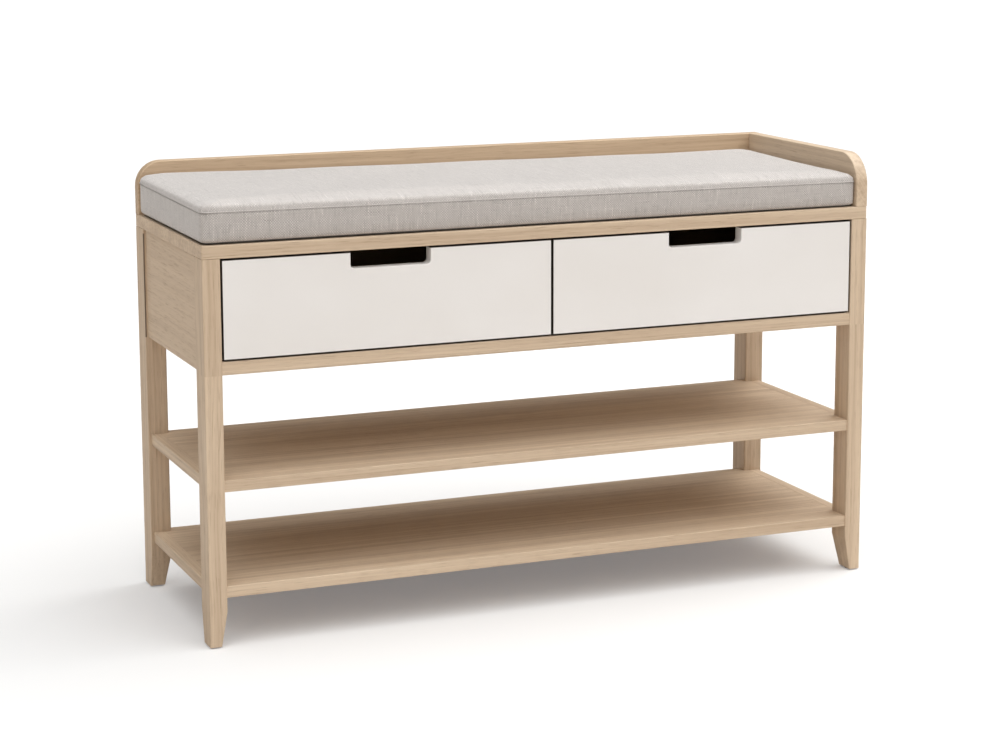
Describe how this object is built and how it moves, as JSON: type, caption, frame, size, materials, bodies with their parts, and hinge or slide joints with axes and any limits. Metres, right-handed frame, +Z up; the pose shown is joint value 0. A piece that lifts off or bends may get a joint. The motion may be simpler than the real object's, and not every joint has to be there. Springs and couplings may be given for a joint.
{
  "type": "entryway bench",
  "caption": "Oak entryway bench with a loose seat cushion on an L-shaped gallery top, flush finger-notch drawers under the seat and open shoe shelves below.",
  "frame": {"origin": "middle of the footprint, on the floor", "axes": "+X along the bench to the right as seen from the front, +Y to the back, +Z up; the drawers open along -Y"},
  "size_m": [1, 0.35, 0.623],
  "materials": {
    "oak": "clear matt lacquered light oak",
    "birch_ply": "clear lacquered birch plywood",
    "beech_dowel": "raw fluted dowel",
    "drawer_front_lacquer": "warm off-white satin lacquer on board",
    "zinc_steel": "zinc plated",
    "glide_nylon": "moulded",
    "cushion_linen": "woven linen look, light greige"
  },
  "bodies": {
    "frame": {"back_panel": "birch_ply", "carcass_dowels": "beech_dowel", "centre_divider": "birch_ply", "drawer_deck": "oak", "end_panel_left": "oak", "end_panel_right": "oak", "foot_glides": "glide_nylon", "gallery_dowels": "beech_dowel", "gallery_rail_back": "oak", "gallery_rail_right": "oak", "leg_back_left": "oak", "leg_back_right": "oak", "leg_dowels": "beech_dowel", "leg_front_left": "oak", "leg_front_right": "oak", "seat_board": "oak", "shelf_dowels": "beech_dowel", "shelf_lower_end_left": "oak", "shelf_lower_end_right": "oak", "shelf_lower_panel": "oak", "shelf_upper_end_left": "oak", "shelf_upper_end_right": "oak", "shelf_upper_panel": "oak", "slide_cabinet_left_inner": "zinc_steel", "slide_cabinet_left_outer": "zinc_steel", "slide_cabinet_right_inner": "zinc_steel", "slide_cabinet_right_outer": "zinc_steel", "slide_fixing_screws": "zinc_steel", "slide_packer_left": "birch_ply", "slide_packer_right": "birch_ply", "stile_front_left": "oak", "stile_front_right": "oak", "top_dowels": "beech_dowel"},
    "drawer_left": {"drawer_left_back": "birch_ply", "drawer_left_bottom": "birch_ply", "drawer_left_dowels": "beech_dowel", "drawer_left_front": "drawer_front_lacquer", "drawer_left_side_inner": "birch_ply", "drawer_left_side_outer": "birch_ply", "drawer_left_slide_screws": "zinc_steel", "slide_drawer_left_inner": "zinc_steel", "slide_drawer_left_outer": "zinc_steel"},
    "drawer_right": {"drawer_right_back": "birch_ply", "drawer_right_bottom": "birch_ply", "drawer_right_dowels": "beech_dowel", "drawer_right_front": "drawer_front_lacquer", "drawer_right_side_inner": "birch_ply", "drawer_right_side_outer": "birch_ply", "drawer_right_slide_screws": "zinc_steel", "slide_drawer_right_inner": "zinc_steel", "slide_drawer_right_outer": "zinc_steel"},
    "slides_left": {"slide_middle_left_inner": "zinc_steel", "slide_middle_left_outer": "zinc_steel"},
    "slides_right": {"slide_middle_right_inner": "zinc_steel", "slide_middle_right_outer": "zinc_steel"},
    "cushion": {"seat_cushion": "cushion_linen"}
  },
  "joints": [
    {"name": "drawer_left_slide", "type": "slide", "parent": "frame", "child": "drawer_left", "axis": [0, -1, 0], "range_m": [0, 0.26]},
    {"name": "drawer_right_slide", "type": "slide", "parent": "frame", "child": "drawer_right", "axis": [0, -1, 0], "range_m": [0, 0.26]},
    {"name": "slides_left_extend", "type": "slide", "parent": "frame", "child": "slides_left", "axis": [0, -1, 0], "range_m": [0, 0.13]},
    {"name": "slides_right_extend", "type": "slide", "parent": "frame", "child": "slides_right", "axis": [0, -1, 0], "range_m": [0, 0.13]},
    {"name": "cushion_lift", "type": "slide", "parent": "frame", "child": "cushion", "axis": [0, 0, 1], "range_m": [0, 0.1]}
  ],
  "couplings": [
    {"joint": "slides_left_extend", "follows": "drawer_left_slide", "ratio": 0.5},
    {"joint": "slides_right_extend", "follows": "drawer_right_slide", "ratio": 0.5}
  ]
}
